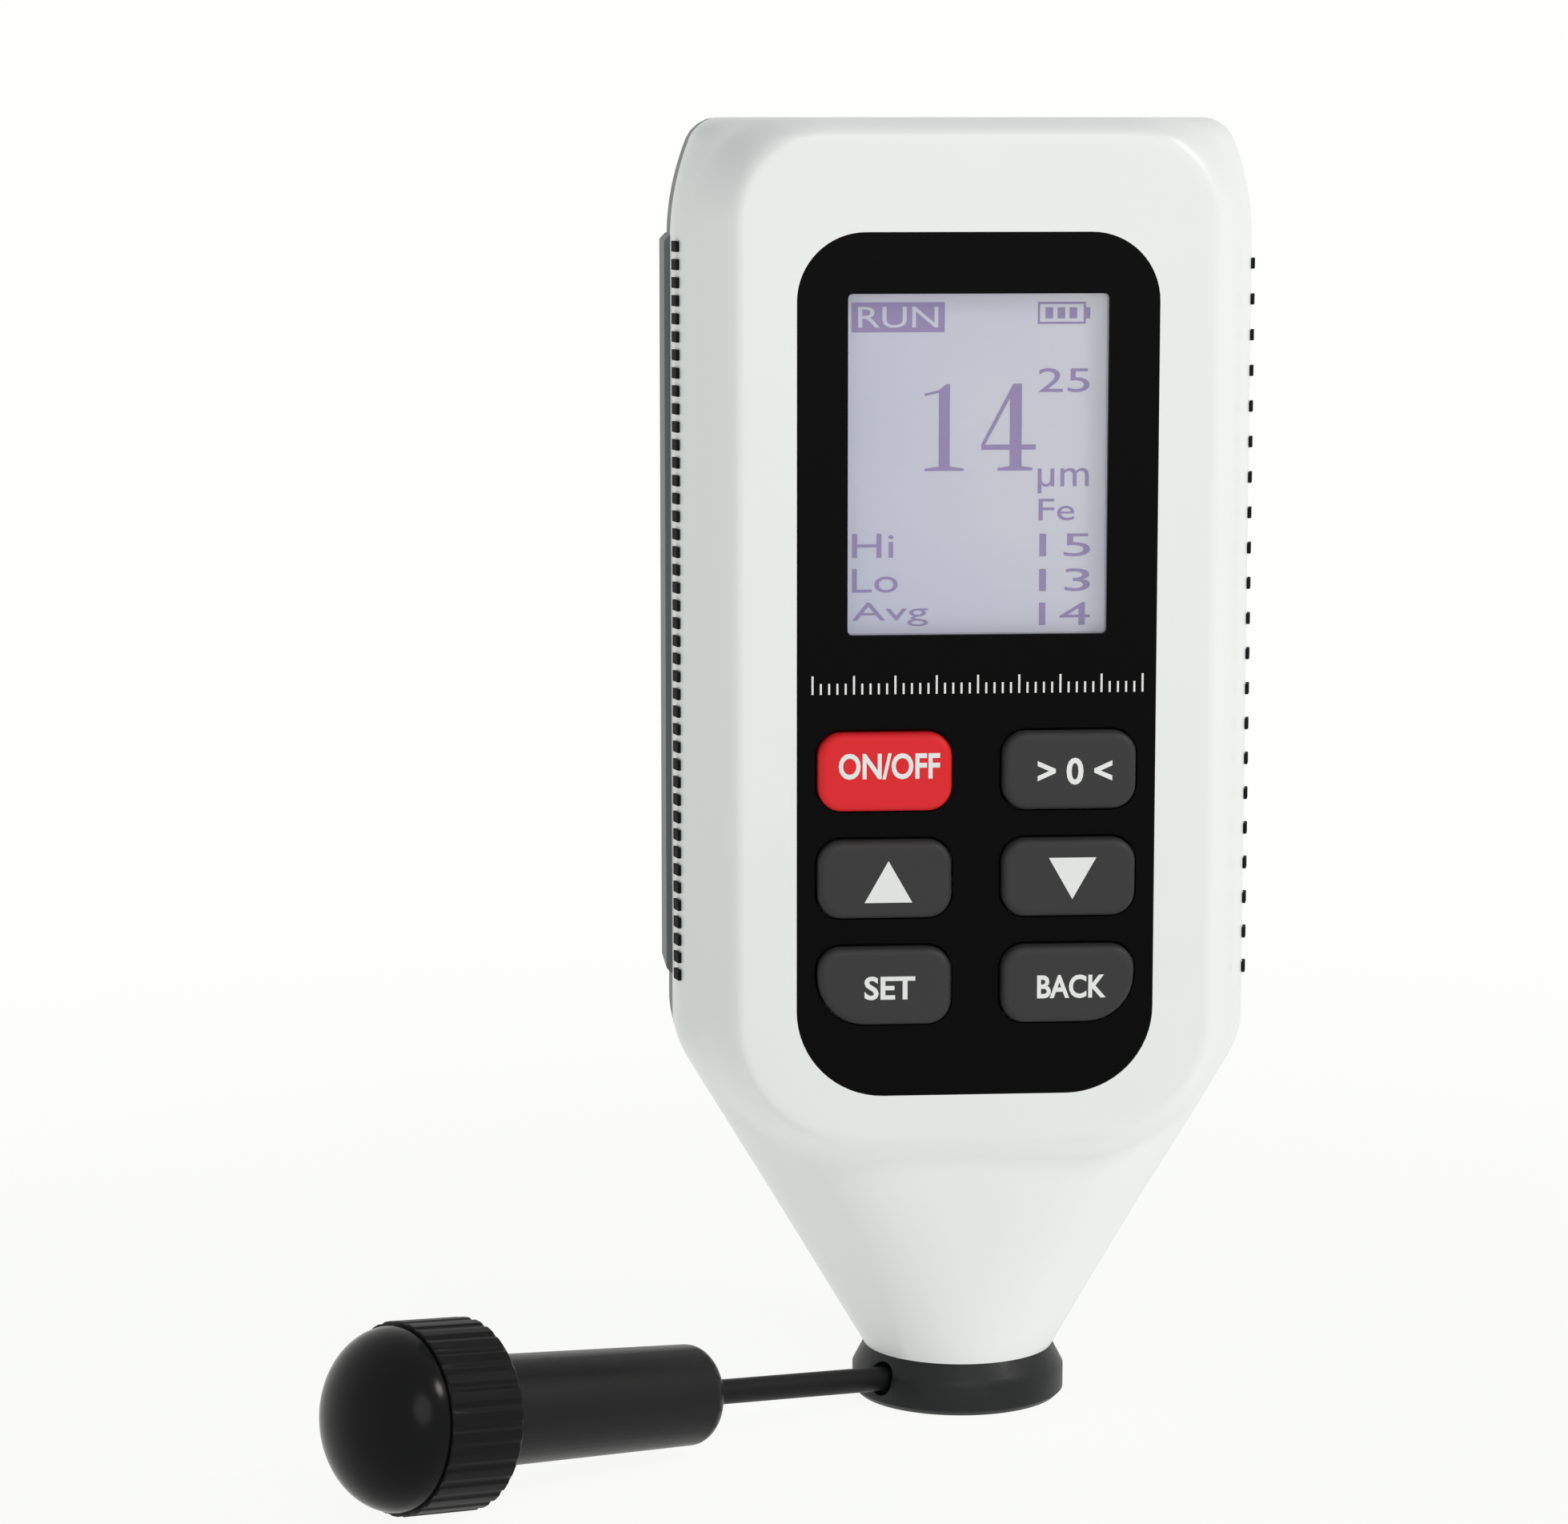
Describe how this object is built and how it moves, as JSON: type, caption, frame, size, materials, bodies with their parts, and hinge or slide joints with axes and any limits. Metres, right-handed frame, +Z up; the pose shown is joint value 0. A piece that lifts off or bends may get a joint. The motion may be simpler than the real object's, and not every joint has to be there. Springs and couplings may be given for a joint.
{
  "type": "coating thickness gauge",
  "caption": "Handheld coating thickness gauge: white case with tapered nose, display, sprung keys, side grips and a wired probe with a pull-off domed cap",
  "frame": {"origin": "the middle of the underside of the nose ring, which the gauge stands on", "axes": "+Z up along the gauge, the display faces -Y, the probe lies on the -X side"},
  "size_m": [0.088, 0.0602, 0.121],
  "materials": {
    "white_case": "fine satin moulded",
    "grey_case": "fine texture moulded",
    "grip_rubber": "matte",
    "panel_black": "printed film",
    "window_clear": "clear pane",
    "lcd_glass": "display cell",
    "light_guide": "diffusing",
    "board_green": "solder mask",
    "chip_black": "moulded",
    "screw_steel": "zinc plated",
    "pad_gold": "plated",
    "mat_rubber": "silicone",
    "key_red": "silicone, satin",
    "key_grey": "silicone, satin",
    "socket_ivory": "moulded",
    "lead_black": "cable sheath",
    "ring_black": "satin moulded",
    "cell_sleeve": "plain sleeve",
    "contact_steel": "nickel plated",
    "probe_black": "satin moulded",
    "cap_black": "polished moulded",
    "guide_brass": "turned",
    "tip_steel": "polished",
    "coil_copper": "varnished wire"
  },
  "bodies": {
    "gauge": {"front_case": "white_case", "rear_case": "grey_case", "side_grip_left": "grip_rubber", "side_grip_right": "grip_rubber", "front_panel": "panel_black", "display_window": "window_clear", "lcd_cell": "lcd_glass", "backlight": "light_guide", "main_board": "board_green", "board_chips": "chip_black", "board_screws": "screw_steel", "contact_pads": "pad_gold", "buzzer": "chip_black", "keypad_mat": "mat_rubber", "board_socket": "socket_ivory", "lead_plug": "socket_ivory", "lead_tail": "lead_black", "lead_grommet": "lead_black", "nose_ring": "ring_black", "case_screws": "screw_steel", "battery_left": "cell_sleeve", "battery_right": "cell_sleeve", "battery_springs": "contact_steel", "battery_plates": "contact_steel", "probe_lead": "lead_black", "probe_handle": "probe_black", "sensor_guide": "guide_brass", "probe_spring": "contact_steel"},
    "power_key": {"power_key": "key_red"},
    "zero_key": {"zero_key": "key_grey"},
    "up_key": {"up_key": "key_grey"},
    "down_key": {"down_key": "key_grey"},
    "ok_key": {"ok_key": "key_grey"},
    "back_key": {"back_key": "key_grey"},
    "door": {"battery_door": "grey_case"},
    "cap": {"probe_cap": "cap_black"},
    "sensor": {"sensor_tip": "tip_steel", "sensor_coil": "coil_copper"}
  },
  "joints": [
    {"name": "power_press", "type": "slide", "parent": "gauge", "child": "power_key", "axis": [0, 1, 0], "range_m": [0, 0.0008], "stiffness_N_per_m": 600, "springref_m": -0.0008},
    {"name": "zero_press", "type": "slide", "parent": "gauge", "child": "zero_key", "axis": [0, 1, 0], "range_m": [0, 0.0008], "stiffness_N_per_m": 600, "springref_m": -0.0008},
    {"name": "up_press", "type": "slide", "parent": "gauge", "child": "up_key", "axis": [0, 1, 0], "range_m": [0, 0.0008], "stiffness_N_per_m": 600, "springref_m": -0.0008},
    {"name": "down_press", "type": "slide", "parent": "gauge", "child": "down_key", "axis": [0, 1, 0], "range_m": [0, 0.0008], "stiffness_N_per_m": 600, "springref_m": -0.0008},
    {"name": "ok_press", "type": "slide", "parent": "gauge", "child": "ok_key", "axis": [0, 1, 0], "range_m": [0, 0.0008], "stiffness_N_per_m": 600, "springref_m": -0.0008},
    {"name": "back_press", "type": "slide", "parent": "gauge", "child": "back_key", "axis": [0, 1, 0], "range_m": [0, 0.0008], "stiffness_N_per_m": 600, "springref_m": -0.0008},
    {"name": "door_lift", "type": "slide", "parent": "gauge", "child": "door", "axis": [0, 1, 0], "range_m": [0, 0.025]},
    {"name": "cap_pull", "type": "slide", "parent": "gauge", "child": "cap", "axis": [-0.8086, -0.5767, 0.1166], "range_m": [0, 0.018]},
    {"name": "sensor_push", "type": "slide", "parent": "gauge", "child": "sensor", "axis": [0.8086, 0.5767, -0.1166], "range_m": [0, 0.002], "stiffness_N_per_m": 300, "springref_m": -0.002, "deforming": ["probe_spring"]}
  ]
}
